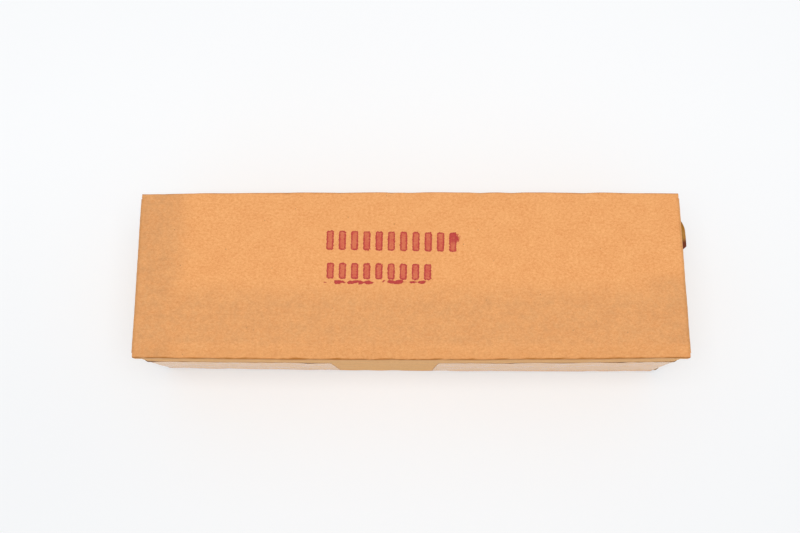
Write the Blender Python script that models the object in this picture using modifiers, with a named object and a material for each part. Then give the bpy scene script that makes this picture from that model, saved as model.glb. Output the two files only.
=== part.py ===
"""End-opening corrugated carton, folded from one slotted sheet and sealed at both ends with clear tape.

Metres, +Z up, +X along the carton, -Y its front. The origin is the middle of the underside.
The sheet is split where it is creased, because every crease is a hinge. Each flap hangs on an empty
that lies on its crease, so turning the empty opens the flap with the tape that is stuck to it.
"""

import math

import bmesh
import bpy

# Driving dimensions
LENGTH = 0.312  # over both closed ends
WIDTH = 0.095  # over the front and back walls
HEIGHT = 0.072  # over the top and bottom panels
BOARD = 0.003  # single-wall board, B flute
SLOT = 0.003  # width of the saw-cut slot beside a flap
SEAM = 0.001  # opening left where two outer flaps meet
LAP = 0.030  # glued lap of the sheet's first panel
LAP_TAPER = 0.010  # how far the lap's ends slant in
LAP_RELIEF = 0.0015  # room between the lap and the flap that swings over it
TAPE_WIDTH = 0.048
TAPE_FILM = 0.0002
TAPE_LOW = 0.005  # height of the tape's lower edge

GAP = 0.0003  # between pieces that touch
ARC_STEPS = 6  # straight steps in a quarter of a rounded fold

# Ends of the four tape legs on the walls, as distances from the middle of the carton: (low edge, high edge)
TAPE_REACH = {
    ("left", "front"): (0.0437, 0.0459),
    ("right", "front"): (0.0144, 0.0167),
    ("left", "back"): (0.0710, 0.0700),
    ("right", "back"): (0.0520, 0.0535),
}

# The tape's loose tongue on the right end: it curls off the flap from its back root to its torn front tip
CURL_LENGTH = 0.0125  # of film that has let go, across the tape
CURL_ANGLE = math.radians(78)  # turned through at the tip
CURL_ROOT_Y = 0.0425
CURL_TIP_Y = 0.0235
CURL_TEAR_Y = 0.0200
CURL_COLUMNS = 60
CURL_ROWS = 12

# Derived from them
HALF_WIDTH = WIDTH / 2
INNER_Y = HALF_WIDTH - BOARD  # inner faces of the walls, and the inner flaps' creases
INNER_TOP = HEIGHT - BOARD  # inner face of the top panel, and its flaps' creases
OUTER_CREASE = LENGTH / 2 - BOARD
INNER_CREASE = OUTER_CREASE - BOARD - GAP
FLAP = HEIGHT / 2 - BOARD - SEAM / 2  # all eight flaps are cut to one length
TAPE_HIGH = TAPE_LOW + TAPE_WIDTH
SIDES = {"left": -1, "right": 1}
FACES = {"front": -1, "back": 1}

# Turn a curve, flat in its own XY and extruded along its Z, to extrude along a world axis
EXTRUDE_ALONG = {
    "X": (math.radians(90), 0, math.radians(90)),
    "Y": (math.radians(90), 0, 0),
    "Z": (0, 0, 0),
}


def clear_scene():
    for obj in list(bpy.data.objects):
        bpy.data.objects.remove(obj, do_unlink=True)


def make_collection(name):
    collection = bpy.data.collections.new(name)
    bpy.context.scene.collection.children.link(collection)
    return collection


def make_material(name, colour, roughness):
    material = bpy.data.materials.new(name)
    material.use_nodes = True
    shader = material.node_tree.nodes["Principled BSDF"]
    shader.inputs["Base Color"].default_value = (*colour, 1)
    shader.inputs["Roughness"].default_value = roughness
    shader.inputs["Metallic"].default_value = 0
    material.diffuse_color = (*colour, 1)
    return material


def arc(centre, radius, start, end):
    """Points of a quarter turn between two angles in degrees."""
    points = []
    for step in range(ARC_STEPS + 1):
        angle = math.radians(start + (end - start) * step / ARC_STEPS)
        points.append((centre[0] + radius * math.cos(angle), centre[1] + radius * math.sin(angle)))
    return points


def mirrored(outline, side):
    """The outline for the right side, or its mirror image with the same winding for the left."""
    if side > 0:
        return outline
    return [(-u, v) for u, v in reversed(outline)]


def extruded(name, outline, along, low, high, material, parent=None):
    """A flat outline extruded along a world axis from low to high, measured from the parent's origin."""
    curve = bpy.data.curves.new(name, "CURVE")
    curve.dimensions = "2D"
    curve.fill_mode = "BOTH"
    curve.extrude = (high - low) / 2
    spline = curve.splines.new("POLY")
    spline.points.add(len(outline) - 1)
    for point, (u, v) in zip(spline.points, outline):
        point.co = (u, v, 0, 1)
    spline.use_cyclic_u = True
    curve.materials.append(material)
    obj = bpy.data.objects.new(name, curve)
    obj.rotation_euler = EXTRUDE_ALONG[along]
    obj.location["XYZ".index(along)] = (low + high) / 2
    obj.parent = parent
    PARTS.objects.link(obj)
    return obj


def rectangle(low_u, low_v, high_u, high_v):
    return [(low_u, low_v), (high_u, low_v), (high_u, high_v), (low_u, high_v)]


def crease(name, x, y, z):
    """An empty on a flap's crease: the flap's parent, and its joint."""
    empty = bpy.data.objects.new(name, None)
    empty.empty_display_size = FLAP / 2
    empty.location = (x, y, z)
    PARTS.objects.link(empty)
    return empty


def make_panels():
    """The broad panels carry the rounded long edges, where the sheet turns down into the walls."""
    top = [(-HALF_WIDTH, INNER_TOP), (HALF_WIDTH, INNER_TOP)]
    top += arc((INNER_Y, INNER_TOP), BOARD, 0, 90)[1:]
    top += arc((-INNER_Y, INNER_TOP), BOARD, 90, 180)[:-1]
    bottom = [(y, HEIGHT - z) for y, z in reversed(top)]
    reach = OUTER_CREASE - GAP
    extruded("top_panel", top, "X", -reach, reach, BOARD_MATERIAL)
    extruded("bottom_panel", bottom, "X", -reach, reach, BOARD_MATERIAL)


def make_walls():
    """The narrow walls have rounded ends, where the sheet turns in to the inner flaps."""
    ends = arc((INNER_CREASE, -INNER_Y), BOARD, -90, 0)
    front = [(-x, y) for x, y in reversed(ends)] + ends
    back = [(x, -y) for x, y in reversed(front)]
    for name, outline in (("front_wall", front), ("back_wall", back)):
        extruded(name, outline, "Z", BOARD + GAP, INNER_TOP - GAP, BOARD_MATERIAL)


def make_glue_flap():
    """The lap turns in from the back wall and is glued to the bottom panel's inner face."""
    high_y = INNER_Y - GAP
    low_y = high_y - LAP
    reach = INNER_CREASE - GAP
    outline = [(-reach + LAP_TAPER, low_y), (reach - LAP_TAPER, low_y), (reach, high_y), (-reach, high_y)]
    extruded("glue_flap", outline, "Z", BOARD + GAP, 2 * BOARD + GAP, BOARD_MATERIAL)


def make_inner_flaps(side_name, side):
    """Hinged on the walls' ends. The back ones are cut back to swing in over the glued lap."""
    for face_name, face in FACES.items():
        low_z = BOARD + SLOT
        if face_name == "back":
            low_z = 2 * BOARD + GAP + LAP_RELIEF
        name = f"{side_name}_inner_{face_name}_flap"
        hinge = crease(f"{name}_crease", side * INNER_CREASE, face * INNER_Y, 0)
        outline = mirrored(rectangle(0, GAP, BOARD, FLAP), side)
        if face > 0:
            outline = [(u, -v) for u, v in reversed(outline)]
        extruded(name, outline, "Z", low_z, INNER_TOP - SLOT, BOARD_MATERIAL, hinge)


def make_outer_flaps(side_name, side):
    """Hinged on the panels' ends. The top ones are bevelled at the crease to fold back past level."""
    half = HALF_WIDTH - SLOT
    bevelled = [(0, -FLAP), (BOARD, -FLAP), (BOARD, -GAP - BOARD), (0, -GAP)]
    hinge = crease(f"{side_name}_outer_top_flap_crease", side * OUTER_CREASE, 0, INNER_TOP)
    outline = mirrored(bevelled, side)
    extruded(f"{side_name}_outer_top_flap", outline, "Y", -half, half, BOARD_MATERIAL, hinge)
    make_upper_end_tape(side_name, side, hinge)

    hinge = crease(f"{side_name}_outer_bottom_flap_crease", side * OUTER_CREASE, 0, BOARD)
    outline = mirrored(rectangle(0, GAP, BOARD, FLAP), side)
    extruded(f"{side_name}_outer_bottom_flap", outline, "Y", -half, half, BOARD_MATERIAL, hinge)
    make_lower_end_tape(side_name, side, hinge)


def make_lower_end_tape(side_name, side, hinge):
    half = HALF_WIDTH - SLOT - GAP
    film = rectangle(BOARD + GAP, TAPE_LOW - BOARD, BOARD + GAP + TAPE_FILM, FLAP)
    outline = mirrored(film, side)
    extruded(f"tape_{side_name}_end_lower", outline, "Y", -half, half, TAPE_MATERIAL, hinge)


def make_upper_end_tape(side_name, side, hinge):
    name = f"tape_{side_name}_end_upper"
    if side_name == "right":
        make_curled_tape(name, hinge)
        return
    half = HALF_WIDTH - SLOT - GAP
    film = rectangle(BOARD + GAP, -FLAP, BOARD + GAP + TAPE_FILM, TAPE_HIGH - INNER_TOP)
    extruded(name, mirrored(film, side), "Y", -half, half, TAPE_MATERIAL, hinge)


def curl_share(y):
    """How far the tongue has curled at y, from 0 where the film is stuck down to 1 at its tip."""
    if y >= CURL_ROOT_Y or y <= CURL_TEAR_Y:
        return 0.0
    if y > CURL_TIP_Y:
        share = (CURL_ROOT_Y - y) / (CURL_ROOT_Y - CURL_TIP_Y)
    else:
        share = (y - CURL_TEAR_Y) / (CURL_TIP_Y - CURL_TEAR_Y)
    return share * share * (3 - 2 * share)


def curled_point(y, across):
    """A point of the film, at a distance across the tape from the seam, relative to the flap's crease."""
    width = TAPE_HIGH - INNER_TOP + FLAP
    loose = max(0.0, across - (width - CURL_LENGTH))
    rate = CURL_ANGLE * curl_share(y) / CURL_LENGTH
    angle = rate * loose
    lift = (1 - math.cos(angle)) / rate if angle > 0 else 0.0
    rise = math.sin(angle) / rate if angle > 0 else loose
    return BOARD + GAP + lift, y, -FLAP + (across - loose) + rise


def make_curled_tape(name, hinge):
    """A flat grid of film, bent to the curl and thickened outwards."""
    half = HALF_WIDTH - SLOT - GAP
    width = TAPE_HIGH - INNER_TOP + FLAP
    sheet = bmesh.new()
    bmesh.ops.create_grid(sheet, x_segments=CURL_COLUMNS, y_segments=CURL_ROWS, size=1)
    for vert in sheet.verts:
        vert.co = curled_point(vert.co.x * half, (vert.co.y + 1) / 2 * width)
    mesh = bpy.data.meshes.new(name)
    sheet.to_mesh(mesh)
    sheet.free()
    mesh.materials.append(TAPE_MATERIAL)
    mesh.shade_smooth()
    obj = bpy.data.objects.new(name, mesh)
    obj.parent = hinge
    PARTS.objects.link(obj)
    film = obj.modifiers.new("film", "SOLIDIFY")
    film.thickness = TAPE_FILM
    film.offset = 1


def make_wall_tape(side_name, side):
    """The strip's two legs on the walls, each cut a little askew at its end."""
    for face_name, face in FACES.items():
        reach_low, reach_high = TAPE_REACH[(side_name, face_name)]
        corner = INNER_CREASE
        leg = [(reach_low, TAPE_LOW), (corner, TAPE_LOW), (corner, TAPE_HIGH), (reach_high, TAPE_HIGH)]
        surface = face * (HALF_WIDTH + GAP)
        low, high = sorted((surface, surface + face * TAPE_FILM))
        outline = mirrored(leg, side)
        extruded(f"tape_{side_name}_{face_name}", outline, "Y", low, high, TAPE_MATERIAL)


clear_scene()
PARTS = make_collection("corrugated_carton")
BOARD_MATERIAL = make_material("kraft_board", (0.80, 0.40, 0.15), 0.85)
TAPE_MATERIAL = make_material("clear_tape", (0.66, 0.46, 0.27), 0.18)

make_panels()
make_walls()
make_glue_flap()
for end_name, end in SIDES.items():
    make_inner_flaps(end_name, end)
    make_outer_flaps(end_name, end)
    make_wall_tape(end_name, end)
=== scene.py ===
import math

import bpy
import numpy as np
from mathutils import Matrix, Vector


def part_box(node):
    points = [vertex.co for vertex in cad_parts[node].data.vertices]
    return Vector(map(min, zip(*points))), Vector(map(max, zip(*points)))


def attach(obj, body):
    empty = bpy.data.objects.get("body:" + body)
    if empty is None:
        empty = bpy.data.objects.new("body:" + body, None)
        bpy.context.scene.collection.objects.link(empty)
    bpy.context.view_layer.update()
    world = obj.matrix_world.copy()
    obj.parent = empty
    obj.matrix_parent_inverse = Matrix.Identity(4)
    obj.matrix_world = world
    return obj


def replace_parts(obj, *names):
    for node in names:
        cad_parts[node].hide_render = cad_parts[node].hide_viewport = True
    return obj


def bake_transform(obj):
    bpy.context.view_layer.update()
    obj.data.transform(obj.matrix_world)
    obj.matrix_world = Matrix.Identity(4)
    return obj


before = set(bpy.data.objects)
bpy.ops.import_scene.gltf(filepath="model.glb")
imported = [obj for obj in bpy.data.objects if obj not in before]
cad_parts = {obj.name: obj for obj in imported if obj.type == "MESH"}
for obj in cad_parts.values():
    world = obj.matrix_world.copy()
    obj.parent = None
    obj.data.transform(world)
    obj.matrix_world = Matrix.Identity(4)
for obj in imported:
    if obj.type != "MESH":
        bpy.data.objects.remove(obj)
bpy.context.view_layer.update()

# Corrugated carton, closed and taped. Metres, +Z up, +X along the carton, -Y its front.
# Every board piece is made as real single-wall board: two liners with a corrugated medium between
# them. Its points are laid out in the coordinates of the flat sheet (u along the carton, v round
# it, depth under the outer face), which the materials read too, so that the paper's grain runs
# on over every crease and stays with a flap that turns.

# ---------------------------------------------------------------- sizes, from the frame
top_low, top_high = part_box("top_panel")
front_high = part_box("front_wall")[1]
outer_low, outer_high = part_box("right_outer_top_flap")
inner_low, inner_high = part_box("right_inner_front_flap")
inner_back_low, inner_back_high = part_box("right_inner_back_flap")
lap_low, lap_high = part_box("glue_flap")
film_low, film_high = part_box("tape_left_front")

HEIGHT = top_high[2]
HALF_WIDTH = top_high[1]
BOARD = top_high[2] - top_low[2]
INNER_Y = -front_high[1]
INNER_TOP = top_low[2]
OUTER_CREASE = outer_low[0]
INNER_CREASE = inner_low[0]
END_FACE = outer_high[0]
HALF_FLAP = outer_high[1]
SEAM_EDGE = outer_low[2]
INNER_FLAP_EDGE = inner_high[1]
LAP_EDGE = lap_low[1]
LAP_TOP = lap_high[2]
TAPE_LOW = film_low[2]
TAPE_HIGH = film_high[2]

# ---------------------------------------------------------------- board and film
LINER = 0.00032
MEDIUM = 0.00024
FLUTE = 0.0065
LONG_FOLD = 0.0013  # outside radius of the sheet's long folds
FLAP_FOLD = 0.0029  # of the outer flaps' folds
INNER_FOLD = 0.0018  # of the inner flaps' folds
LEAD = 0.005  # board of the panel that belongs to the flap's piece, inside its crease
STUB = 0.002  # wall that belongs to the panel's piece, below its fold
SLOT_END = OUTER_CREASE + 0.0019  # where the long folds and the walls end, beside a flap
FOOT_END = INNER_CREASE + 0.0024  # and at the carton's foot
RAW_INSET = 0.0006  # the bottom's raw back edge stops short of the back wall's face
LOWEST = 0.00002  # of the board's points, just clear of the ground
SEAM_SLIT = 0.0001  # from the middle of the tape's slit along the seam to the film
FILM = 0.00006
FILM_STAND = 0.00008  # clear of the board, for its glue

# How the carton has gone out of shape
BOW_BACK = 0.0008
BOW_FRONT = 0.0008
BOW_FRONT_TOP = 0.0004  # and this much more at the top of the front
BOW_TOP = 0.0006
BOW_POWER = 2.4
TWIST = -0.0068  # radians that the bottom has turned under the top
FOOT_FORWARD = 0.00025
RIGHT_SKEW = 0.009  # the right end's departure from square, seen from above
SKEW_POWER = 4

ENDS = (("left", -1), ("right", 1))

SEED = 7
rng = np.random.default_rng(SEED)


def smooth_step(low, high, value):
    share = np.clip((value - low) / (high - low), 0.0, 1.0)
    return share * share * (3 - 2 * share)


def ripple(seed, short, long, waves=20):
    """A smooth random field of unit spread, made of waves between two lengths."""
    source = np.random.default_rng(seed)
    length = np.exp(source.uniform(math.log(short), math.log(long), waves))
    angle = source.uniform(0, 2 * math.pi, waves)
    phase = source.uniform(0, 2 * math.pi, waves)
    along, across = np.cos(angle) / length, np.sin(angle) / length

    def field(u, v):
        turns = np.multiply.outer(u, along) + np.multiply.outer(v, across)
        return np.sin(2 * math.pi * turns + phase).sum(axis=-1) * math.sqrt(2 / waves)

    return field


undulation = ripple(SEED + 1, 0.018, 0.070)
fold_wander = ripple(SEED + 2, 0.006, 0.040)
dust_and_shade_cloud = ripple(SEED + 3, 0.004, 0.018)
rub_and_shade_cloud = ripple(SEED + 4, 0.002, 0.012)
film_lift = ripple(SEED + 5, 0.006, 0.030)
film_wave = ripple(SEED + 6, 0.004, 0.016)


def steps(low, high, size, *stops):
    """Evenly spaced values from low to high, with extra values at the stops."""
    count = max(1, round((high - low) / size))
    values = np.concatenate([np.linspace(low, high, count + 1), [s for s in stops if low < s < high]])
    values = np.sort(values)
    keep = np.concatenate([[True], np.diff(values) > 1e-7])
    return values[keep]


# ---------------------------------------------------------------- the mesh builder
SHARP_ANGLE = math.radians(38)


class Sheet:
    """Collects closed slabs into one mesh. Each slab is a grid with a near and a far face."""

    def __init__(self):
        self.points = []
        self.faces = []
        self.sheet = []
        self.marks = []
        self.count = 0

    def slab(self, place, us, vs, near, far, keep, sheet, marks):
        """place gives a point for (u, v, depth), near and far are depths or give them, keep says which cells
        of the grid are there, and sheet and marks give the two attributes."""
        u, v = np.meshgrid(us, vs, indexing="ij")
        rows, columns = u.shape
        used = np.ones((rows - 1, columns - 1), bool)
        if keep is not None:
            used = keep((u[:-1, :-1] + u[1:, 1:]) / 2, (v[:-1, :-1] + v[1:, 1:]) / 2)
        layers = []
        for side in (near, far):
            depth = side(u, v) if callable(side) else np.full(u.shape, float(side))
            layers.append(np.stack(place(u, v, depth), axis=-1))
            self.points.append(layers[-1].reshape(-1, 3))
            self.sheet.append(listed(sheet(u, v, depth), u.shape))
            self.marks.append(listed(marks(u, v, depth), u.shape))
        top = self.count + np.arange(rows * columns).reshape(rows, columns)
        low = top + rows * columns
        self.count += 2 * rows * columns
        corner_a, corner_b = top[:-1, :-1][used], top[1:, :-1][used]
        corner_c, corner_d = top[1:, 1:][used], top[:-1, 1:][used]
        quads = [np.stack([corner_a, corner_b, corner_c, corner_d], axis=-1)]
        quads.append(np.stack([corner_a, corner_d, corner_c, corner_b], axis=-1) + rows * columns)
        edges = (
            (used & ~shifted(used, 1, 0), top[:-1, 1:], top[:-1, :-1]),
            (used & ~shifted(used, -1, 0), top[1:, :-1], top[1:, 1:]),
            (used & ~shifted(used, 1, 1), top[:-1, :-1], top[1:, :-1]),
            (used & ~shifted(used, -1, 1), top[1:, 1:], top[:-1, 1:]),
        )
        for border, start, end in edges:
            p, q = start[border], end[border]
            quads.append(np.stack([q, p, p + rows * columns, q + rows * columns], axis=-1))
        faces = np.concatenate(quads)
        if faces_inward(layers[0], layers[1], used):
            faces = faces[:, ::-1]
        self.faces.append(faces)

    def make(self, name, material):
        points = np.concatenate(self.points)
        faces = np.concatenate(self.faces)
        points = settled(points)
        kept, faces = np.unique(faces, return_inverse=True)
        faces = faces.reshape(-1, 4)
        mesh = bpy.data.meshes.new(name)
        mesh.from_pydata(points[kept].tolist(), [], faces.tolist())
        for label, values in (("sheet", self.sheet), ("marks", self.marks)):
            attribute = mesh.attributes.new(label, "FLOAT_VECTOR", "POINT")
            attribute.data.foreach_set("vector", np.concatenate(values)[kept].astype(np.float32).ravel())
        mesh.materials.append(material)
        mesh.shade_smooth()
        mesh.set_sharp_from_angle(angle=SHARP_ANGLE)
        obj = bpy.data.objects.new(name, mesh)
        bpy.context.scene.collection.objects.link(obj)
        return obj


def listed(values, shape):
    """Three grids or single values as a list of triples."""
    return np.stack([np.broadcast_to(value, shape) for value in values], axis=-1).reshape(-1, 3)


def shifted(mask, by, axis):
    """The mask moved one cell along an axis, empty where nothing moves in."""
    moved = np.roll(mask, by, axis)
    edge = [slice(None)] * 2
    edge[axis] = 0 if by > 0 else -1
    moved[tuple(edge)] = False
    return moved


def faces_inward(near, far, used):
    """True if the near face, wound as it is, looks towards the far one."""
    along = (near[1:, :-1] - near[:-1, :-1])[used]
    across = (near[:-1, 1:] - near[:-1, :-1])[used]
    outward = (near[:-1, :-1] - far[:-1, :-1])[used]
    return (np.cross(along, across) * outward).sum() < 0


def settled(points):
    """The shape that a handled carton has taken: sides swollen in the middle, the right end a little out
    of square, and the bottom turned a little under the top."""
    x, y, z = points.T.copy()
    middle = 1 - np.clip(np.abs(x) / OUTER_CREASE, 0, 1) ** BOW_POWER
    height = np.clip(z / HEIGHT, 0, 1)
    bow = np.where(y > 0, BOW_BACK, BOW_FRONT + BOW_FRONT_TOP * height)
    flat = 1 - np.clip(np.abs(y) / HALF_WIDTH, 0, 1) ** 2
    turn = TWIST * (1 - height) ** 2
    settled_x = x - y * turn - RIGHT_SKEW * y * np.clip(x / OUTER_CREASE, 0, 1) ** SKEW_POWER
    settled_y = y + bow * middle * y / HALF_WIDTH + x * turn - FOOT_FORWARD * (1 - height)
    return np.stack([settled_x, settled_y, z + BOW_TOP * middle * height * flat], axis=-1)


# ---------------------------------------------------------------- folds
def fold_point(s, depth, radius):
    """A fold seen end on, with its inner corner at the origin. The panel comes along -p to it with its
    outer face at q = BOARD, and the flap leaves down -q with its outer face at p = BOARD. s runs along
    the outer face and equals p on the panel."""
    flat_end = BOARD - radius
    turn = (s - flat_end) / radius
    angle = np.clip(turn, 0, math.pi / 2)
    past = np.maximum(s - flat_end - radius * math.pi / 2, 0)
    p = np.minimum(s, flat_end) + radius * np.sin(angle)
    q = BOARD - radius + radius * np.cos(angle) - past
    share = depth / BOARD
    return p + (np.minimum(p, 0) - p) * share, q + (np.minimum(q, 0) - q) * share


def fold_length(radius):
    """s where the flap's outer face is level with the inner corner."""
    return 2 * (BOARD - radius) + radius * math.pi / 2


FRONT_TURN = INNER_Y + fold_length(LONG_FOLD)  # v where the wall passes the inner corner


# ---------------------------------------------------------------- what the sheet looks like
WASHBOARD = 0.00003  # how far the flutes show through the liner
UNDULATION = 0.00006
DENTS = 12  # along each long fold
DENT_INSET = 0.002
DENT_DEPTH = (0.0001, 0.0003)
DENT_SIZE = (0.0015, 0.005)


def make_dents(side):
    """(u, v, depth, size) of each dent along one of the top's long folds."""
    sizes = zip(rng.uniform(*DENT_DEPTH, DENTS), rng.uniform(*DENT_SIZE, DENTS))
    return [
        (rng.uniform(-OUTER_CREASE, OUTER_CREASE), side * (HALF_WIDTH - rng.uniform(0.0, DENT_INSET)), *size)
        for size in sizes
    ]


dents = make_dents(-1) + make_dents(1)


def relief(u, v):
    """How far the outer face stands out of its ideal place."""
    height = WASHBOARD * np.cos(2 * math.pi * v / FLUTE) + UNDULATION * undulation(u, v)
    for at_u, at_v, depth, size in dents:
        height = height - depth * np.exp(-((u - at_u) ** 2 + (v - at_v) ** 2) / size**2)
    return height


def outer_near(u, v):
    return -relief(u, v)


def outer_far(u, v):
    return LINER - relief(u, v)


def medium_depth(v):
    middle = BOARD / 2
    swing = (BOARD - 2 * LINER - MEDIUM) / 2
    return middle + swing * np.cos(2 * math.pi * v / FLUTE)


# The bands on the top, in the sheet's u and v: painted shade over its front half, and dust at its ends
FRONT_SHADE = (0.000, 0.019)  # v over which the front's painted shade comes in
FRONT_SHADE_EASED = (0.037, 0.042)  # v over which the painted shade eases to half again
FRONT_STRENGTH = 0.82
LEFT_DUST = (-0.140, -0.123)  # u over which the left end's band goes
RIGHT_DUST = (0.118, 0.150)  # u over which the right end's patch comes in
RIGHT_DUST_BACK = (-0.004, 0.010)  # v over which it comes in
RIGHT_DUST_FRONT = (0.038, 0.043)  # v over which it goes
DUST_WANDER = 0.0015
DUST_AND_SHADE_UNEVEN = 0.10
WALL_DUST = 0.25
WALL_DUST_UNEVEN = 0.15


def top_dust_and_shade(u, v):
    # Painted shade darkens the top's front half, and dust darkens its two ends
    front = smooth_step(*FRONT_SHADE, v) * (1 - 0.5 * smooth_step(*FRONT_SHADE_EASED, v))
    left = 1 - smooth_step(*LEFT_DUST, u + DUST_WANDER * dust_and_shade_cloud(u, v))
    right = smooth_step(*RIGHT_DUST, u) * smooth_step(*RIGHT_DUST_BACK, v)
    right = right * (1 - smooth_step(*RIGHT_DUST_FRONT, v))
    band = np.maximum(np.maximum(front * FRONT_STRENGTH, left), right)
    return band * (1 + DUST_AND_SHADE_UNEVEN * dust_and_shade_cloud(u, v))


def board_marks(dust_and_shade, crease_lines):
    """Gives (dust and painted shade, crease wear and painted shade, cut edge) at each point. Each crease
    line is a function that gives the distance to it, the width of its worn and shaded line, and how strong
    that is."""

    def marks(u, v, depth):
        crease = np.zeros(u.shape)
        for distance, width, strength in crease_lines:
            # The line's width wanders, for its wear and its painted shade alike
            worn = np.maximum(width * (1 + 0.15 * rub_and_shade_cloud(u, v)), width * 0.4)
            uneven = np.clip(1 + 0.3 * rub_and_shade_cloud(v, u), 0.2, 1.3)
            line = smooth_step(1.0, 0.5, np.abs(distance(u, v)) / worn) * uneven
            crease = np.maximum(crease, strength * line)
        cut = smooth_step(LINER * 0.5, LINER * 2, depth) * (1 - smooth_step(BOARD - LINER, BOARD, depth))
        return dust_and_shade(u, v), crease, cut

    return marks


def no_marks(u, v, depth):
    return 0, 0, 0


def no_dust(u, v):
    return np.zeros(u.shape)


def wall_dust(u, v):
    return WALL_DUST + WALL_DUST_UNEVEN * dust_and_shade_cloud(u, v)


# ---------------------------------------------------------------- materials
class Graph:
    """A small helper that adds shader nodes and joins them."""

    def __init__(self, name):
        self.material = bpy.data.materials.new(name)
        self.material.use_nodes = True
        self.nodes = self.material.node_tree.nodes
        self.links = self.material.node_tree.links
        self.shader = self.nodes["Principled BSDF"]

    def feed(self, socket, value):
        if isinstance(value, bpy.types.NodeSocket):
            self.links.new(value, socket)
        else:
            socket.default_value = value

    def attribute(self, name):
        node = self.nodes.new("ShaderNodeAttribute")
        node.attribute_name = name
        return node.outputs["Vector"]

    def split(self, vector):
        node = self.nodes.new("ShaderNodeSeparateXYZ")
        self.feed(node.inputs[0], vector)
        return node.outputs

    def scaled(self, vector, scale):
        node = self.nodes.new("ShaderNodeMapping")
        self.feed(node.inputs["Vector"], vector)
        node.inputs["Scale"].default_value = scale
        return node.outputs[0]

    def noise(self, vector, scale, detail, roughness, distortion=0.0):
        node = self.nodes.new("ShaderNodeTexNoise")
        self.feed(node.inputs["Vector"], self.scaled(vector, scale))
        node.inputs["Scale"].default_value = 1.0
        node.inputs["Detail"].default_value = detail
        node.inputs["Roughness"].default_value = roughness
        node.inputs["Distortion"].default_value = distortion
        return node.outputs["Fac"]

    def cells(self, vector, scale):
        node = self.nodes.new("ShaderNodeTexVoronoi")
        self.feed(node.inputs["Vector"], self.scaled(vector, scale))
        node.inputs["Scale"].default_value = 1.0
        return node.outputs["Distance"], node.outputs["Color"]

    def math(self, operation, a, b=0.0, c=0.0):
        node = self.nodes.new("ShaderNodeMath")
        node.operation = operation
        for socket, value in zip(node.inputs, (a, b, c)):
            self.feed(socket, value)
        return node.outputs[0]

    def ramp(self, value, low, high, to_low=0.0, to_high=1.0, smooth=True):
        node = self.nodes.new("ShaderNodeMapRange")
        if smooth:
            node.interpolation_type = "SMOOTHSTEP"
        for socket, number in zip(node.inputs, (value, low, high, to_low, to_high)):
            self.feed(socket, number)
        return node.outputs[0]

    def mix(self, factor, a, b, blend="MIX"):
        node = self.nodes.new("ShaderNodeMix")
        node.data_type = "RGBA"
        node.blend_type = blend
        self.feed(node.inputs[0], factor)
        self.feed(node.inputs[6], a)
        self.feed(node.inputs[7], b)
        return node.outputs[2]

    def bump(self, height, distance, strength):
        node = self.nodes.new("ShaderNodeBump")
        node.inputs["Strength"].default_value = strength
        node.inputs["Distance"].default_value = distance
        self.feed(node.inputs["Height"], height)
        return node.outputs[0]


def colour(red, green, blue):
    return (red, green, blue, 1.0)


KRAFT_LIGHT = colour(0.898, 0.446, 0.166)
KRAFT_DARK = colour(0.700, 0.264, 0.072)
# Dust, and the painted shade on the top's front half, darken the paper towards this
KRAFT_DUST_AND_SHADE = colour(0.400, 0.215, 0.095)
# Wear, and the painted shade along the front fold, darken the creases towards this
KRAFT_CREASE_WEAR_AND_SHADE = colour(0.440, 0.155, 0.020)
KRAFT_CUT = colour(0.620, 0.330, 0.130)
SPECK = colour(0.220, 0.100, 0.040)
SIDE_PAINTED_LIGHT = colour(1.02, 1.16, 1.04)  # painted light: the sides are tinted paler and yellower than the top, for the grazing sheen and softer light they show
INK = colour(0.540, 0.040, 0.023)
INK_THICK = colour(0.420, 0.017, 0.012)


# How fine each pattern in the paper is, in turns per metre along and round the sheet, and through it
FIBRES = (620, 900, 900)  # they lie along the carton
GRAIN = (2300, 2300, 2300)
CLOUDS = (70, 110, 110)
SPECKS = (230, 230, 230)
DUST_AND_SHADE_PATCHES = (260, 260, 260)

# How much of each is in the paper's tone, and how strongly the marks cover it
FIBRE_TONE = 2.0
GRAIN_TONE = 1.2
CLOUD_TONE = 0.45
SPECK_COVER = 0.6
DUST_AND_SHADE_COVER = 0.30
CREASE_COVER = 0.95
CUT_COVER = 0.7

PAPER_BUMP = 0.00005
SHEEN = 0.10
SHEEN_TINT = colour(1.0, 0.86, 0.60)


def fibre_noise(graph, sheet):
    return graph.noise(sheet, FIBRES, 5.0, 0.72, 0.4)


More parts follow.
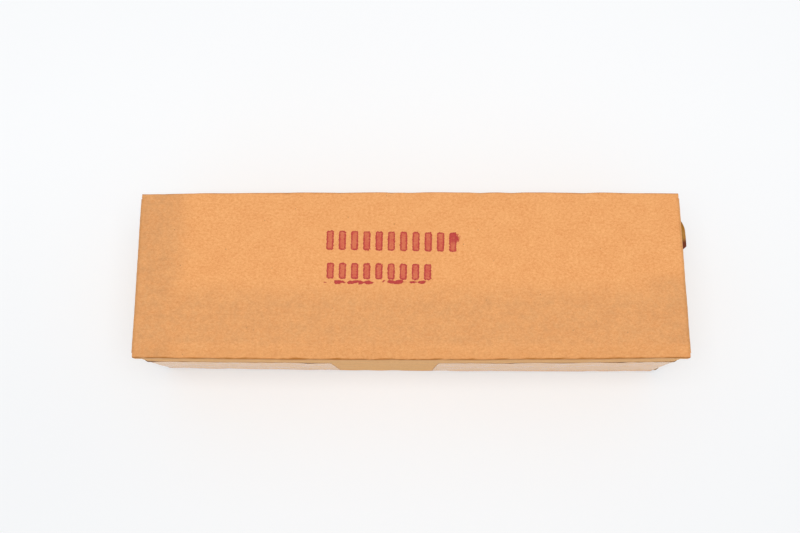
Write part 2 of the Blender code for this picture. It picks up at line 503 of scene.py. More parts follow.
def kraft_paper(graph):
    """The paper's colour and height: pulp mottle, fibres, clouds, specks, and the marks painted on it: dust,
    wear and cut edges, painted shade on the top's front half and along the front fold, and painted light on
    the sides.
    """
    sheet = graph.attribute("sheet")
    dust_and_shade, crease, cut = graph.split(graph.attribute("marks"))[:3]
    fibre = fibre_noise(graph, sheet)
    grain = graph.noise(sheet, GRAIN, 3.0, 0.6)
    cloud = graph.noise(sheet, CLOUDS, 3.0, 0.55)
    tone = 0.5
    for noise, share in ((fibre, FIBRE_TONE), (grain, GRAIN_TONE), (cloud, CLOUD_TONE)):
        tone = graph.math("MULTIPLY_ADD", noise, share, graph.math("ADD", tone, -share / 2))
    paper = graph.mix(graph.ramp(tone, 0.0, 1.0, smooth=False), KRAFT_DARK, KRAFT_LIGHT)
    along, around = graph.split(sheet)[:2]
    # Painted light: past the folds, on the walls, the bottom and the flaps, the paper is tinted paler and
    # yellower
    past_long_fold = graph.ramp(graph.math("ABSOLUTE", around), HALF_WIDTH - 0.001, HALF_WIDTH + 0.004)
    past_end_fold = graph.ramp(graph.math("ABSOLUTE", along), OUTER_CREASE + 0.001, OUTER_CREASE + 0.006)
    side = graph.math("MAXIMUM", past_long_fold, past_end_fold)
    paper = graph.mix(side, paper, graph.mix(1.0, paper, SIDE_PAINTED_LIGHT, "MULTIPLY"))
    distance, tint = graph.cells(sheet, SPECKS)
    chosen = graph.ramp(graph.split(tint)[0], 0.80, 0.84)  # one cell in about six has a speck
    speck = graph.math("MULTIPLY", graph.ramp(distance, 0.09, 0.04), chosen)
    paper = graph.mix(graph.math("MULTIPLY", speck, SPECK_COVER), paper, SPECK)
    # Dust, and the painted shade on the top's front half, darken the paper in patches
    patchy = graph.ramp(graph.noise(sheet, DUST_AND_SHADE_PATCHES, 5.0, 0.7), 0.25, 0.75, 0.55, 1.25)
    darkened = graph.math("MULTIPLY", graph.math("MULTIPLY", dust_and_shade, patchy), DUST_AND_SHADE_COVER)
    paper = graph.mix(darkened, paper, KRAFT_DUST_AND_SHADE)
    # Painted shade along the front fold, and wear on every crease
    paper = graph.mix(graph.math("MULTIPLY", crease, CREASE_COVER), paper, KRAFT_CREASE_WEAR_AND_SHADE)
    paper = graph.mix(graph.math("MULTIPLY", cut, CUT_COVER), paper, KRAFT_CUT)
    height = graph.math("MULTIPLY_ADD", fibre, 0.7, graph.math("MULTIPLY", grain, 0.3))
    return paper, height, fibre


def kraft_material(name, stamped=False):
    graph = Graph(name)
    paper, height, fibre = kraft_paper(graph)
    rough = graph.ramp(fibre, 0.2, 0.8, 0.92, 0.74, smooth=False)
    if stamped:
        paper, rough = stamp(graph, paper, rough)
    graph.feed(graph.shader.inputs["Base Color"], paper)
    graph.feed(graph.shader.inputs["Roughness"], rough)
    graph.feed(graph.shader.inputs["Normal"], graph.bump(height, PAPER_BUMP, 0.5))
    graph.shader.inputs["Sheen Weight"].default_value = SHEEN
    graph.shader.inputs["Sheen Roughness"].default_value = 0.4
    graph.shader.inputs["Sheen Tint"].default_value = SHEEN_TINT
    return graph.material


# The stamp: two rows of plain blocks. (middle x, middle y, length, height, blocks)
STAMP_ROWS = (
    (-0.0109, 0.0184, 0.0770, 0.0112, 11),
    (-0.0176, 0.0010, 0.0620, 0.0092, 9),
)
STAMP_TILT = math.radians(-1.0)
BLOCK_SHARE = 0.60  # of a block and the space beside it
BLOCK_CORNER = 0.0013
WOBBLE = 0.0018  # how far the blocks' outlines wander
SMUDGE = (0.0250, 0.0205)  # middle x and y of the doubled print at the first row's end
SMUDGE_RADIUS = 0.0070
SMEAR_DOWN = 0.0047  # the line of squeezed ink along the second row's foot, in v
SMEAR_SLOPE = -0.022
SMEAR_WIDTH = 0.0013
WORN_GRAIN = (1100, 1100, 0)
WOBBLE_GRAIN = (900, 900, 0)
PATCH_GRAIN = (150, 150, 0)
INK_GLOSS = 0.22  # less rough than the paper


def stamp_row(graph, along, down, shift, row):
    """How far a point lies inside the row's nearest block, and less than nothing outside it."""
    middle_x, middle_y, length, height, blocks = row
    pitch = length / blocks
    from_start = graph.math("SUBTRACT", along, middle_x - length / 2)
    in_cell = graph.math("FLOORED_MODULO", from_start, pitch)
    off_cell = graph.math("ABSOLUTE", graph.math("SUBTRACT", in_cell, pitch / 2))
    off_row = graph.math("ABSOLUTE", graph.math("SUBTRACT", along, middle_x))
    off_line = graph.math("ABSOLUTE", graph.math("ADD", down, middle_y))
    depth_block = graph.math("SUBTRACT", pitch * BLOCK_SHARE / 2, off_cell)
    depth_row = graph.math("SUBTRACT", length / 2, off_row)
    depth_x = graph.math("MINIMUM", depth_block, depth_row)
    depth_y = graph.math("SUBTRACT", height / 2, graph.math("ADD", off_line, shift))
    off_x = graph.math("MAXIMUM", graph.math("SUBTRACT", BLOCK_CORNER, depth_x), 0)
    off_y = graph.math("MAXIMUM", graph.math("SUBTRACT", BLOCK_CORNER, depth_y), 0)
    square = graph.math("MULTIPLY_ADD", off_x, off_x, graph.math("MULTIPLY", off_y, off_y))
    return graph.math("SUBTRACT", BLOCK_CORNER, graph.math("SQRT", square))


def stamp_smudge(graph, along, down, worn):
    off_x = graph.math("ADD", along, -SMUDGE[0])
    off_y = graph.math("ADD", down, SMUDGE[1])
    square = graph.math("MULTIPLY_ADD", off_x, off_x, graph.math("MULTIPLY", off_y, off_y))
    off = graph.math("MULTIPLY_ADD", worn, 0.0075, graph.math("SQRT", square))
    return graph.ramp(off, SMUDGE_RADIUS, SMUDGE_RADIUS - 0.0008)


def stamp_smear(graph, along, down, worn, patch):
    """The broken line of squeezed ink along the second row's foot."""
    middle_x, _, length = STAMP_ROWS[1][:3]
    slant = graph.math("MULTIPLY_ADD", along, SMEAR_SLOPE, SMEAR_DOWN)
    off_line = graph.math("ABSOLUTE", graph.math("SUBTRACT", down, slant))
    inside = graph.math("SUBTRACT", graph.ramp(patch, 0.42, 0.62, 0.0, SMEAR_WIDTH), off_line)
    inside = graph.math("MULTIPLY_ADD", worn, 0.0012, graph.math("ADD", inside, -0.0006))
    off_middle = graph.math("ABSOLUTE", graph.math("ADD", along, -middle_x))
    in_row = graph.math("SUBTRACT", length / 2, off_middle)
    return graph.ramp(graph.math("MINIMUM", inside, in_row), -0.00006, 0.00016)


def stamp(graph, paper, rough):
    """Red ink blocks: thick and dark where the rubber's edge squeezed it, thin and worn inside."""
    sheet = graph.attribute("sheet")
    wobble = graph.noise(sheet, WOBBLE_GRAIN, 4.0, 0.65)
    worn = graph.noise(sheet, WORN_GRAIN, 5.0, 0.75)
    patch = graph.noise(sheet, PATCH_GRAIN, 2.0, 0.5)
    shift = graph.math("MULTIPLY_ADD", wobble, WOBBLE, -WOBBLE / 2)
    turned = graph.nodes.new("ShaderNodeMapping")
    turned.inputs["Rotation"].default_value = (0, 0, STAMP_TILT)
    graph.feed(turned.inputs["Vector"], sheet)
    along, down = graph.split(turned.outputs[0])[:2]
    along = graph.math("ADD", along, shift)
    rows = [stamp_row(graph, along, down, shift, row) for row in STAMP_ROWS]
    inside = graph.math("MAXIMUM", *rows)
    smudge = stamp_smudge(graph, along, down, worn)
    smear = stamp_smear(graph, along, down, worn, patch)
    spilt = graph.math("MAXIMUM", smear, smudge)
    rim = graph.ramp(inside, 0.0012, 0.0006)
    edge = graph.math("MULTIPLY_ADD", worn, 0.0005, graph.math("ADD", inside, -0.00025))
    shape = graph.math("MAXIMUM", graph.ramp(edge, -0.00010, 0.00014), spilt)
    cover = graph.math("MULTIPLY_ADD", worn, 2.3, -0.83)
    cover = graph.math("MULTIPLY_ADD", rim, 0.50, cover)
    cover = graph.math("ADD", cover, graph.math("MULTIPLY_ADD", patch, 1.2, -0.60))
    cover = graph.math("MULTIPLY_ADD", spilt, 0.4, cover)
    cover = graph.math("MULTIPLY", graph.ramp(cover, 0.05, 0.85, 0.66, 1.0), shape)
    squeezed = graph.math("MAXIMUM", rim, graph.math("MAXIMUM", smear, graph.math("MULTIPLY", smudge, 0.8)))
    thick = graph.math("MULTIPLY", squeezed, graph.ramp(worn, 0.32, 0.54))
    ink = graph.mix(thick, INK, INK_THICK)
    return graph.mix(cover, paper, ink), graph.math("MULTIPLY_ADD", cover, -INK_GLOSS, rough)


TAPE_TINT = colour(0.950, 1.015, 0.635)
TAPE_AIR = colour(0.80, 0.52, 0.27)  # where air is trapped under it
# Painted shade along the film's lifted upper edge and at its cut end
TAPE_EDGE_SHADE = colour(0.20, 0.09, 0.03)
AMBER = colour(0.430, 0.220, 0.040)
AMBER_DARK = colour(0.150, 0.028, 0.006)
GLUE_GRAIN = (190, 420, 420)
SMEAR_GRAIN = (60, 300, 300)
RIDGE_GRAIN = (120, 800, 800)
TAPE_BUMP = 0.00003
TAPE_IOR = 1.5


def tape_material(name, specular=0.5):
    """Clear film stuck on kraft: the paper shows through it, a little yellowed, under a smooth gloss. Where
    the film has come loose it is amber, and it darkens to nearly black-red towards the torn tip and in the
    turned corner. Along its lifted upper edge and its cut end it carries painted shade."""
    graph = Graph(name)
    sheet = graph.attribute("sheet")
    loose, deep, shade = graph.split(graph.attribute("marks"))[:3]
    fibre = fibre_noise(graph, sheet)
    paper = graph.mix(graph.ramp(fibre, 0.0, 1.0, smooth=False), KRAFT_DARK, KRAFT_LIGHT)
    glued = graph.noise(sheet, GLUE_GRAIN, 5.0, 0.7)
    film = graph.mix(1.0, paper, TAPE_TINT, "MULTIPLY")
    film = graph.mix(graph.ramp(glued, 0.55, 0.75, 0.0, 0.25), film, TAPE_AIR)
    film = graph.mix(loose, film, graph.mix(deep, AMBER, AMBER_DARK))
    # Painted shade along the lifted upper edge and at the cut end
    film = graph.mix(graph.math("MULTIPLY", shade, 0.5), film, TAPE_EDGE_SHADE)
    graph.feed(graph.shader.inputs["Base Color"], film)
    smear = graph.noise(sheet, SMEAR_GRAIN, 4.0, 0.6)
    rough = graph.math("MULTIPLY_ADD", loose, 0.25, graph.ramp(smear, 0.3, 0.7, 0.14, 0.26))
    graph.feed(graph.shader.inputs["Roughness"], rough)
    ridges = graph.noise(sheet, RIDGE_GRAIN, 3.0, 0.5)
    height = graph.math("MULTIPLY_ADD", ridges, 0.7, graph.math("MULTIPLY", glued, 0.3))
    graph.feed(graph.shader.inputs["Normal"], graph.bump(height, TAPE_BUMP, 0.2))
    graph.shader.inputs["IOR"].default_value = TAPE_IOR
    graph.shader.inputs["Specular IOR Level"].default_value = specular
    return graph.material


BOARD_PAPER = kraft_material("kraft_board")
STAMPED_PAPER = kraft_material("kraft_board_stamped", stamped=True)
TAPE_FILM = tape_material("clear_tape")
CURLED_FILM = tape_material("clear_tape_curled", specular=0.2)  # its sticky side, dull with fibres


# ---------------------------------------------------------------- board pieces
FINE = FLUTE / 10  # mesh size across the flutes
COARSE = 0.003  # along them, in the liners
MEDIUM_STEP = 0.02  # and in the medium
FOLD_STEPS = 26
CREASE_WEAR_AND_SHADE = 0.0012  # half width of the worn line on a fold's crown, with painted shade too on the front fold
CREASE_HALO = 0.0090  # and of the faint painted shade round it
CROWN = 1.23  # radians round the long fold to the middle of that line
END_CROWN = 0.0012  # inside the end's face, to the worn line there
FOLD_WANDER = 0.0002
LAP_INSET = 0.0006  # at each end, clear of the flap that swings over it
LAP_SLANT = 0.010  # how much shorter still it is at its free edge, at each end
LAP_STEP = 0.02  # in t, and five times that in the medium
LAP_FOLD_STEPS = 12
LAP_WEAR = 0.0016
LAP_WEAR_STRENGTH = 0.8


def add_liners(build, place, us, vs, near, far, keep, sheet, marks):
    """The outer liner between two depths, and the inner one."""
    build.slab(place, us, vs, near, far, keep, sheet, marks)
    build.slab(place, us, vs, BOARD - LINER, BOARD, keep, sheet, marks)


def add_medium(build, place, us, vs, keep, sheet, marks, flute_v):
    """The corrugated paper between the liners, whose waves follow flute_v."""

    def near(u, v):
        return medium_depth(flute_v(u, v)) - MEDIUM / 2

    def far(u, v):
        return medium_depth(flute_v(u, v)) + MEDIUM / 2

    build.slab(place, us, vs, near, far, keep, sheet, marks)


def make_broad_panel(name, bottom):
    """The top or the bottom with its two long folds. The bottom's back edge is the sheet's raw edge."""
    stub = FRONT_TURN + STUB
    lowest = -(HALF_WIDTH - RAW_INSET) if bottom else -stub
    corner = FOOT_END if bottom else SLOT_END

    def place(u, v, depth):
        raw = bottom & (v < 0)
        side = 1 if bottom else np.sign(v)
        p, q = fold_point(np.abs(v) * np.where(raw, 0, 1) - INNER_Y, depth, LONG_FOLD)
        y = np.where(raw, -v, -side * (INNER_Y + p))
        z = INNER_TOP + np.where(raw, BOARD - depth, q)
        return u, y, np.maximum(HEIGHT - z, LOWEST) if bottom else z

    def keep(u, v):
        reach = np.where(np.abs(v) < HALF_FLAP, OUTER_CREASE - LEAD, corner)
        return np.abs(u) < reach

    def sheet(u, v, depth):
        return u, v + (2 * FRONT_TURN + HEIGHT if bottom else 0), depth

    def long_fold(u, v):
        wander = FOLD_WANDER * fold_wander(u, np.sign(v))
        return np.abs(v) - INNER_Y - (BOARD - LONG_FOLD) - LONG_FOLD * CROWN + wander

    def front_fold(u, v):
        return long_fold(u, v) + (v < 0)

    def back_fold(u, v):
        return long_fold(u, v) + (v > 0)

    def end_fold(u, v):
        return np.abs(u) - END_FACE + END_CROWN

    # The front fold's line and the faint band round it are painted shade with some wear; the back and end
    # folds' lines are wear and dirt
    crease_lines = (
        (front_fold, CREASE_WEAR_AND_SHADE, 1.0),
        (front_fold, CREASE_HALO, 0.08),
        (back_fold, CREASE_WEAR_AND_SHADE, 0.5),
        (end_fold, CREASE_WEAR_AND_SHADE, 0.15),
    )
    marks = board_marks(wall_dust if bottom else top_dust_and_shade, crease_lines)
    stops = (-(OUTER_CREASE - LEAD), OUTER_CREASE - LEAD)
    us = steps(-corner, corner, COARSE, *stops)
    medium_us = steps(-corner, corner, MEDIUM_STEP, *stops)
    folds = np.linspace(INNER_Y, stub, FOLD_STEPS)
    vs = steps(lowest, stub, FINE, -HALF_FLAP, HALF_FLAP, *folds, *(() if bottom else -folds))
    build = Sheet()
    add_liners(build, place, us, vs, outer_near, outer_far, keep, sheet, marks)
    add_medium(build, place, medium_us, vs, keep, sheet, marks, lambda u, v: v)
    piece = build.make(name, BOARD_PAPER if bottom else STAMPED_PAPER)
    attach(piece, "carton_body")
    return piece


def make_wall(name, side, low_z, flap_low, flap_high):
    """The front (side -1) or back wall from low_z up to the top panel's piece. The inner flaps' own pieces
    take the wall's ends between flap_low and flap_high."""
    high_z = INNER_TOP - STUB

    def place(u, v, depth):
        return u, side * (HALF_WIDTH - depth), v

    def keep(u, v):
        beside = np.where(v < flap_high, INNER_CREASE - LEAD, SLOT_END)
        return np.abs(u) < np.where(v < flap_low, FOOT_END, beside)

    def sheet(u, v, depth):
        return u, -side * (FRONT_TURN + INNER_TOP - v), depth

    def near(u, v):
        return -relief(u, -side * (FRONT_TURN + INNER_TOP - v))

    def far(u, v):
        return near(u, v) + LINER

    marks = board_marks(wall_dust, ())
    stops = (-FOOT_END, -(INNER_CREASE - LEAD), INNER_CREASE - LEAD, FOOT_END)
    us = steps(-SLOT_END, SLOT_END, COARSE, *stops)
    vs = steps(low_z, high_z, FINE, flap_low, flap_high)
    medium_us = steps(-SLOT_END, SLOT_END, MEDIUM_STEP, *stops)
    build = Sheet()
    add_liners(build, place, us, vs, near, far, keep, sheet, marks)
    add_medium(build, place, medium_us, vs, keep, sheet, marks, lambda u, v: FRONT_TURN + INNER_TOP - v)
    piece = build.make(name, BOARD_PAPER)
    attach(piece, "carton_body")
    return piece


def make_lap():
    """The glued lap: it leaves the back wall's foot and lies on the bottom panel. Its ends slant. t runs
    from -1 to 1 along it, and s from its free edge, past its crease at 0, up to the wall."""
    reach = INNER_CREASE - LAP_INSET
    length = INNER_Y - LAP_EDGE
    turn = fold_length(LONG_FOLD) + STUB

    def reach_at(s):
        return reach - LAP_SLANT * np.clip(-s / length, 0, 1)

    def place(t, s, depth):
        p, q = fold_point(s, depth, LONG_FOLD)
        return t * reach_at(s), INNER_Y + p, LAP_TOP - q

    def sheet(t, s, depth):
        return t * reach_at(s), -(FRONT_TURN + HEIGHT) + s, depth

    marks = board_marks(no_dust, ((lambda t, s: s - BOARD, LAP_WEAR, LAP_WEAR_STRENGTH),))
    ts = steps(-1, 1, LAP_STEP)
    medium_ts = steps(-1, 1, LAP_STEP * 5)
    ss = steps(-length, turn, FINE, *np.linspace(0, turn, LAP_FOLD_STEPS))
    build = Sheet()
    add_liners(build, place, ts, ss, 0.0, LINER, None, sheet, marks)
    add_medium(build, place, medium_ts, ss, None, sheet, marks, lambda t, s: s)
    piece = build.make("glue_flap_board", BOARD_PAPER)
    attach(piece, "carton_body")
    return piece


FLAP_STEP = 0.002
FLAP_MEDIUM_STEP = 0.01
FLAP_FOLD_STEPS = 16
FLAP_WEAR = 0.0020
FLAP_WEAR_STRENGTH = 0.15
DUST_AND_SHADE_END = 0.004  # the top's dust and painted shade go no further than this past the inner corner of a flap's fold


def make_flap(node, hinge, panel_axis, face_axis, across, low, high, length, radius):
    """A flap with its crease and the first few millimetres of the panel that it hangs on. hinge is a point
    on the inner corner of the fold, panel_axis points out of the panel, face_axis out of its outer face, and
    across runs along the crease from low to high."""
    vectors = (hinge, panel_axis, face_axis, across)
    hinge, panel_axis, face_axis, across = (np.array(vector, float) for vector in vectors)
    end = fold_length(radius) + length
    sign = panel_axis[0]
    crease_middle = BOARD - radius + radius * math.pi / 4
    base_u = abs(hinge[0])

    def place(s, w, depth):
        p, q = fold_point(s, depth, radius)
        spot = hinge + p[..., None] * panel_axis + q[..., None] * face_axis + w[..., None] * across
        return spot[..., 0], spot[..., 1], np.maximum(spot[..., 2], LOWEST)

    def across_v(w):
        """v of the flat sheet at w along the crease."""
        if abs(across[1]) > 0:
            return -w if face_axis[2] > 0 else -w + 2 * FRONT_TURN + HEIGHT
        return -face_axis[1] * (FRONT_TURN + INNER_TOP - w)

    def flat(s, w):
        return sign * (base_u + s), across_v(w) + 0 * s

    def sheet(s, w, depth):
        return *flat(s, w), depth

    def near(s, w):
        return -relief(*flat(s, w))

    def far(s, w):
        return near(s, w) + LINER

    def dust_and_shade(s, w):
        if face_axis[2] > 0:
            return top_dust_and_shade(*flat(s, w)) * (s < DUST_AND_SHADE_END)
        return wall_dust(s, w)

    def off_crease(s, w):
        return s - crease_middle

    marks = board_marks(dust_and_shade, ((off_crease, FLAP_WEAR, FLAP_WEAR_STRENGTH),))
    fold = np.linspace(-0.001, fold_length(radius) + 0.001, FLAP_FOLD_STEPS)
    ss = steps(-LEAD, end, FLAP_STEP, *fold)
    ws = steps(low, high, FINE)
    build = Sheet()
    add_liners(build, place, ss, ws, near, far, None, sheet, marks)
    # The fold crushes the medium, so there is none from just before it to just past it
    medium_before = np.array([-LEAD, -0.0015])
    medium_past = steps(fold_length(radius) + 0.0005, end - 0.0002, FLAP_MEDIUM_STEP)
    for medium_ss in (medium_before, medium_past):
        add_medium(build, place, medium_ss, ws, None, sheet, marks, lambda s, w: across_v(w) + 0 * s)
    piece = build.make(f"{node}_board", BOARD_PAPER)
    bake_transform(piece)
    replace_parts(piece, node)


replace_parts(make_broad_panel("top_panel_board", bottom=False), "top_panel")
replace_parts(make_broad_panel("bottom_panel_board", bottom=True), "bottom_panel")
wall_foot = BOARD + STUB
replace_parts(make_wall("front_wall_board", -1, wall_foot, inner_low[2], inner_high[2]), "front_wall")
lap_foot = LAP_TOP + STUB
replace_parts(make_wall("back_wall_board", 1, lap_foot, inner_back_low[2], inner_back_high[2]), "back_wall")
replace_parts(make_lap(), "glue_flap")

for end_name, end in ENDS:
    for level, hinge_z, face in (("top", INNER_TOP, 1), ("bottom", BOARD, -1)):
        make_flap(
            f"{end_name}_outer_{level}_flap",
            (end * OUTER_CREASE, 0, hinge_z), (end, 0, 0), (0, 0, face), (0, 1, 0),
            -HALF_FLAP, HALF_FLAP, INNER_TOP - SEAM_EDGE, FLAP_FOLD,
        )
    for wall, face, low_z in (("front", -1, inner_low[2]), ("back", 1, inner_back_low[2])):
        make_flap(
            f"{end_name}_inner_{wall}_flap",
            (end * INNER_CREASE, face * INNER_Y, 0), (end, 0, 0), (0, face, 0), (0, 0, 1),
            low_z, inner_high[2], INNER_Y + INNER_FLAP_EDGE, INNER_FOLD,
        )


# ---------------------------------------------------------------- tape
# How much further from the middle each strip's cut end is at its top than at its foot
TAPE_SKEW = {
    ("left", "front"): 0.0022,
    ("right", "front"): 0.0023,
    ("left", "back"): -0.0010,
    ("right", "back"): 0.0015,
}
CUT_ZONE = 0.004
SAW_PITCH = 0.0016
SAW_DEPTH = 0.0005
TAPE_STEP = 0.002
TAPE_TURN = 0.0030  # radius at which the film leaves the wall for the end flap's corner
TAPE_PULL = 0.12  # radians past the straight way there
FILM_WAVE = 0.00002
LIFT = 0.00035  # of the upper edge, where the film has let go
LIFT_BAND = 0.0035
RIM = (0.0009, 0.0002)  # below the upper edge, between which its shade comes in
CUT_RIM = 0.0009
CUT_SHADE = 0.4
EAR_LENGTH = 0.0046  # the corner of film that turns out at the right front foot
EAR_HEIGHT = 0.0060
EAR_LIFT = 0.0015


def saw(z):
    """The toothed cut that a dispenser leaves."""
    return SAW_DEPTH * np.abs(2 * np.mod(z / SAW_PITCH, 1) - 1)


def wall_path(s, turn_start, turn_radius, turn_angle):
    """(x, y inside the wall's face) along the film as it leaves the wall for the end flap's corner."""
    angle = np.clip((s - turn_start) / turn_radius, 0, turn_angle)
    past = np.maximum(s - turn_start - turn_radius * turn_angle, 0)
    x = np.minimum(s, turn_start) + turn_radius * np.sin(angle) + past * math.cos(turn_angle)
    y = turn_radius * (1 - np.cos(angle)) + past * math.sin(turn_angle)
    return x, y


def make_wall_tape(end_name, end, wall, face):
    """One leg of a strip, from its toothed end on the wall round to the edge of the end flap."""
    node = f"tape_{end_name}_{wall}"
    low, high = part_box(node)
    skew = TAPE_SKEW[end_name, wall]
    reach = min(abs(low[0]), abs(high[0])) - min(skew, 0)
    turn_start = INNER_CREASE + BOARD - INNER_FOLD
    corner_x = END_FACE + FILM_STAND
    corner_y = HALF_WIDTH - HALF_FLAP
    turn_angle = math.atan2(corner_y, corner_x - turn_start) + TAPE_PULL
    turn_end = turn_start + TAPE_TURN * turn_angle
    bend_x, bend_y = wall_path(np.array(turn_end), turn_start, TAPE_TURN, turn_angle)
    length = turn_end + math.hypot(corner_x - bend_x, corner_y - bend_y)
    ear_start = length - EAR_LENGTH
    dog_ear = end_name == "right" and wall == "front"

    def loosened(s):
        """Where along the upper edge the film has let go, and most of all where it leaves the wall."""
        here = np.clip(film_lift(end * s, face * 0.1) - 0.2, 0, 1.6) * 0.45
        return here + 0.25 * smooth_step(turn_start - 0.014, turn_start - 0.004, s)

    def in_ear(s, z):
        return (s > ear_start) & (z < TAPE_LOW + EAR_HEIGHT) & dog_ear

    def ear(s, z):
        """How far the corner has turned out, from 0 to 1."""
        along = smooth_step(ear_start, length - EAR_LENGTH * 0.4, s)
        return along * smooth_step(TAPE_LOW + EAR_HEIGHT, TAPE_LOW, z) * dog_ear

    def place(s, z, depth):
        near_end = np.clip((reach + CUT_ZONE - s) / CUT_ZONE, 0, 1)
        start = s + near_end * (skew * (z - TAPE_LOW) / (TAPE_HIGH - TAPE_LOW) - saw(z))
        x, y = wall_path(start, turn_start, TAPE_TURN, turn_angle)
        v = -face * (FRONT_TURN + INNER_TOP - z)
        edge = smooth_step(TAPE_HIGH - LIFT_BAND, TAPE_HIGH, z) * loosened(s) * LIFT
        held = relief(end * s, v) * smooth_step(turn_start + 0.002, turn_start, s)
        stand = FILM_STAND + held + edge + FILM_WAVE * film_wave(s, z) + EAR_LIFT * ear(s, z) - depth
        return end * x, face * (HALF_WIDTH - y + stand), z + 0 * s

    def marks(s, z, depth):
        """(loose, deep, shade): the turned corner, how dark it is, and painted shade along the film's lifted
        upper edge and at its cut end.
        """
        rim = smooth_step(TAPE_HIGH - RIM[0], TAPE_HIGH - RIM[1], z) * np.clip(0.2 + loosened(s), 0, 1)
        cut = CUT_SHADE * smooth_step(reach + CUT_RIM, reach, s)
        return np.minimum(4 * ear(s, z), 1), 0.45 * ear(s, z), np.maximum(rim, cut)

    def sheet(s, z, depth):
        return end * s, -face * (FRONT_TURN + INNER_TOP - z), depth

    build = Sheet()
    ss = steps(reach, length, TAPE_STEP, reach + 0.0004, ear_start, *np.linspace(turn_start, length, 9))
    zs = steps(TAPE_LOW, TAPE_HIGH, SAW_PITCH / 4, TAPE_LOW + EAR_HEIGHT)
    build.slab(place, ss, zs, -FILM, 0.0, lambda s, z: ~in_ear(s, z), sheet, marks)
    piece = build.make(f"{node}_film", TAPE_FILM)
    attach(piece, "carton_body")
    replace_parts(piece, node)
    if dog_ear:
        build = Sheet()
        ss = steps(ear_start, length, 0.0004)
        zs = steps(TAPE_LOW, TAPE_LOW + EAR_HEIGHT, SAW_PITCH / 4)
        build.slab(place, ss, zs, -FILM, 0.0, None, sheet, marks)
        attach(build.make(f"{node}_ear_film", CURLED_FILM), "carton_body")


# The loose tongue on the right end, torn free at its front and rooted at its back
TEAR_Y = 0.0176
TIP_Y = 0.0218  # from here to the tear it is rounded off
TIP_LEFT = 0.25  # of its length, at the tear
ROOT_Y = 0.0446
ROOT_WIDTH = 0.0155  # over which it comes away from the board
LOOSE = 0.0126  # its length
BENT = 0.0065  # of it, from its root, is curved, and the rest stands out nearly straight
CURL = math.radians(72)
TEAR_GAP = 0.00003
FLAT_CURL = 0.0001  # stands for no curl at all, which the circle's formula can't take


def add_torn_film(build, low_z, flat_sheet):
    """The right upper strip in two slabs: stuck in front of the tear, and curled off the board behind it.
    across runs up the strip from low_z."""
    width = TAPE_HIGH - low_z

    def tip(y):
        """How much of the tongue's length is there."""
        rounded = np.sqrt(np.clip((y - TEAR_Y) / (TIP_Y - TEAR_Y), 0, 1))
        return np.where(y < TIP_Y, TIP_LEFT + (1 - TIP_LEFT) * rounded, 1)

    def curled(y, across, depth, share, trim):
        loose = np.maximum(0, across - (width - LOOSE))
        trimmed = loose * trim
        rate = CURL * np.maximum(share, FLAT_CURL) / BENT
        angle = rate * np.minimum(trimmed, BENT)
        straight = np.maximum(trimmed - BENT, 0)
        out = (1 - np.cos(angle)) / rate + straight * np.sin(angle)
        rise = np.sin(angle) / rate + straight * np.cos(angle)
        held = relief(*flat_sheet(y, low_z + across, depth)[:2])
        x = END_FACE + FILM_STAND + held + out - depth * np.cos(angle)
        z = low_z + across - loose + rise + depth * np.sin(angle)
        return x, y, z

    def stuck(y, across, depth):
        return curled(y, across, depth, 0 * y, 1)

    def torn(y, across, depth):
        return curled(y, across, depth, smooth_step(ROOT_Y, ROOT_Y - ROOT_WIDTH, y), tip(y))

    def torn_marks(y, across, depth):
        free = smooth_step(width - LOOSE, width - LOOSE * 0.7, across)
        loose = smooth_step(ROOT_Y, ROOT_Y - 0.0090, y) * free
        deep = smooth_step(TIP_Y + 0.0058, TIP_Y + 0.0022, y)
        return loose, deep, 0

    def sheet(y, across, depth):
        return flat_sheet(y, low_z + across, depth)

    rows = steps(0, width, 0.0005)
    front = steps(-HALF_FLAP, TEAR_Y - TEAR_GAP, TAPE_STEP)
    back = steps(TEAR_Y, HALF_FLAP, 0.0006)
    build.slab(stuck, front, rows, -FILM, 0.0, None, sheet, no_marks)
    build.slab(torn, back, rows, -FILM, 0.0, None, sheet, torn_marks)


def make_end_tape(end_name, end, level):
    """The strip's stretch over an end flap, down or up to the slit along the flaps' seam."""
    upper = level == "upper"
    torn = upper and end_name == "right"
    seam = HEIGHT / 2 + (SEAM_SLIT if upper else -SEAM_SLIT)
    low_z, high_z = (seam, TAPE_HIGH) if upper else (TAPE_LOW, seam)

    def sheet(y, z, depth):
        past_fold = INNER_TOP - z if upper else z - BOARD
        v = -y if upper else 2 * FRONT_TURN + HEIGHT - y
        return end * (OUTER_CREASE + fold_length(FLAP_FOLD) + past_fold), v, depth

    def place(y, z, depth):
        stand = FILM_STAND + relief(*sheet(y, z, depth)[:2]) + FILM_WAVE * film_wave(y, z) - depth
        return end * (END_FACE + stand), y, z

    build = Sheet()
    if torn:
        add_torn_film(build, low_z, sheet)
    else:
        ys = steps(-HALF_FLAP, HALF_FLAP, TAPE_STEP)
        zs = steps(low_z, high_z, 0.001)
        build.slab(place, ys, zs, -FILM, 0.0, None, sheet, no_marks)
    material = CURLED_FILM if torn else TAPE_FILM
    piece = build.make(f"tape_{end_name}_end_{level}_film", material)
    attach(piece, f"{end_name}_{'top' if upper else 'bottom'}_flap")
    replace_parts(piece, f"tape_{end_name}_end_{level}")


for end_name, end in ENDS:
    for wall, face in (("front", -1), ("back", 1)):
        make_wall_tape(end_name, end, wall, face)
    for level in ("upper", "lower"):
        make_end_tape(end_name, end, level)


# ---------------------------------------------------------------- floor, light and camera
TABLE_SIZE = 12
TABLE_DROP = 0.0003  # below the carton, so that the flaps' uneven faces clear it when they lie open
TABLE_LIGHT = colour(0.560, 0.572, 0.585)
TABLE_LIGHTER = colour(0.568, 0.580, 0.593)
TABLE_GRAIN = (3, 3, 3)
TABLE_GLOW = (0.348, 0.396)  # a light table, a little brighter behind the carton than in front of it
GLOW_REACH = (-0.13, 0.14)  # y between which it grows


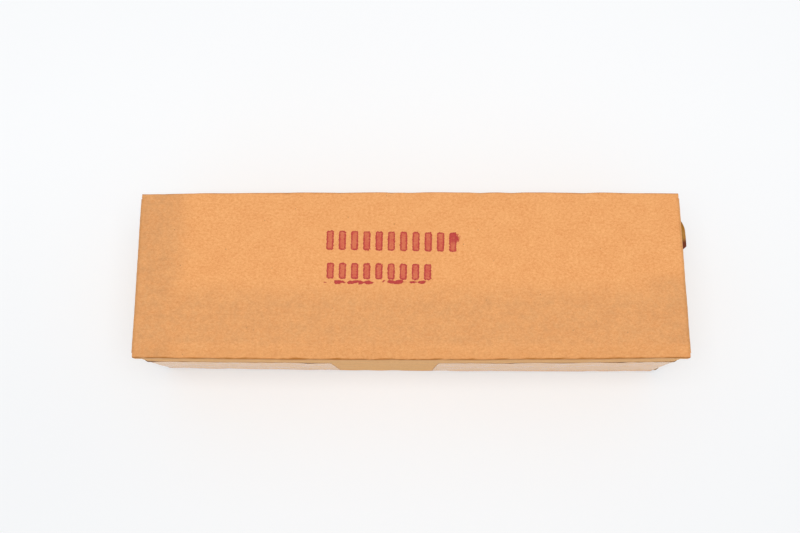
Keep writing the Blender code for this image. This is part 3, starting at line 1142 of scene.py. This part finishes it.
def make_floor():
    graph = Graph("white_table")
    spot = graph.nodes.new("ShaderNodeTexCoord").outputs["Object"]
    tone = graph.ramp(graph.noise(spot, TABLE_GRAIN, 2.0, 0.5), 0.3, 0.7)
    glow = graph.ramp(graph.split(spot)[1], *GLOW_REACH, *TABLE_GLOW)
    graph.feed(graph.shader.inputs["Base Color"], graph.mix(tone, TABLE_LIGHT, TABLE_LIGHTER))
    graph.shader.inputs["Roughness"].default_value = 0.9
    graph.shader.inputs["Specular IOR Level"].default_value = 0.1
    graph.shader.inputs["Emission Color"].default_value = colour(1, 1, 1)
    graph.feed(graph.shader.inputs["Emission Strength"], glow)
    bpy.ops.mesh.primitive_plane_add(size=TABLE_SIZE, location=(0, 0, -TABLE_DROP))
    floor = bpy.context.object
    floor.name = "white_table"
    floor.data.materials.append(graph.material)


SKY = colour(0.985, 0.99, 1.0)
HORIZON_LIGHT = 0.45
ZENITH_LIGHT = 0.64
BACKDROP_LIGHT = 0.46  # added in a narrow band where the table ends, so that low views have no dark edge
BACKDROP_HEIGHT = 0.06
SOFTBOX_SIZE = (1.0, 0.5)
SOFTBOX_POWER = 7.7
SOFTBOX_PLACE = (0.0, -0.10, 1.2)


def make_light():
    world = bpy.data.worlds.new("studio")
    bpy.context.scene.world = world
    world.use_nodes = True
    nodes, links = world.node_tree.nodes, world.node_tree.links
    split = nodes.new("ShaderNodeSeparateXYZ")
    links.new(nodes.new("ShaderNodeTexCoord").outputs["Generated"], split.inputs[0])
    total = nodes.new("ShaderNodeMath")
    bands = ((1.0, HORIZON_LIGHT, ZENITH_LIGHT), (BACKDROP_HEIGHT, BACKDROP_LIGHT, 0.0))
    for socket, (top, at_horizon, at_top) in zip(total.inputs, bands):
        band = nodes.new("ShaderNodeMapRange")
        links.new(split.outputs[2], band.inputs[0])
        for band_socket, number in zip(band.inputs[1:5], (0.0, top, at_horizon, at_top)):
            band_socket.default_value = number
        links.new(band.outputs[0], socket)
    background = nodes["Background"]
    background.inputs["Color"].default_value = SKY
    links.new(total.outputs[0], background.inputs["Strength"])

    lamp = bpy.data.lights.new("softbox", "AREA")
    lamp.shape = "RECTANGLE"
    lamp.size, lamp.size_y = SOFTBOX_SIZE
    lamp.energy = SOFTBOX_POWER
    softbox = bpy.data.objects.new("softbox", lamp)
    softbox.location = SOFTBOX_PLACE
    softbox.rotation_euler = (Vector((0, 0, 0)) - softbox.location).to_track_quat("-Z", "Y").to_euler()
    bpy.context.scene.collection.objects.link(softbox)


CAMERA_PLACE = (-0.0015, -0.0964, 0.5541)
CAMERA_TILT = math.radians(11.79)
CAMERA_ROLL = math.radians(0.48)
CAMERA_SPIN = math.radians(0.07)
CAMERA_LENS = 39.08
CAMERA_SENSOR = 36


def make_camera():
    camera = bpy.data.objects.new("camera", bpy.data.cameras.new("camera"))
    camera.location = CAMERA_PLACE
    camera.rotation_euler = (CAMERA_TILT, CAMERA_ROLL, CAMERA_SPIN)
    camera.data.lens = CAMERA_LENS
    camera.data.sensor_width = CAMERA_SENSOR
    camera.data.clip_start = 0.01
    bpy.context.scene.collection.objects.link(camera)
    bpy.context.scene.camera = camera


make_floor()
make_light()
make_camera()
bpy.context.scene.view_settings.view_transform = "Standard"
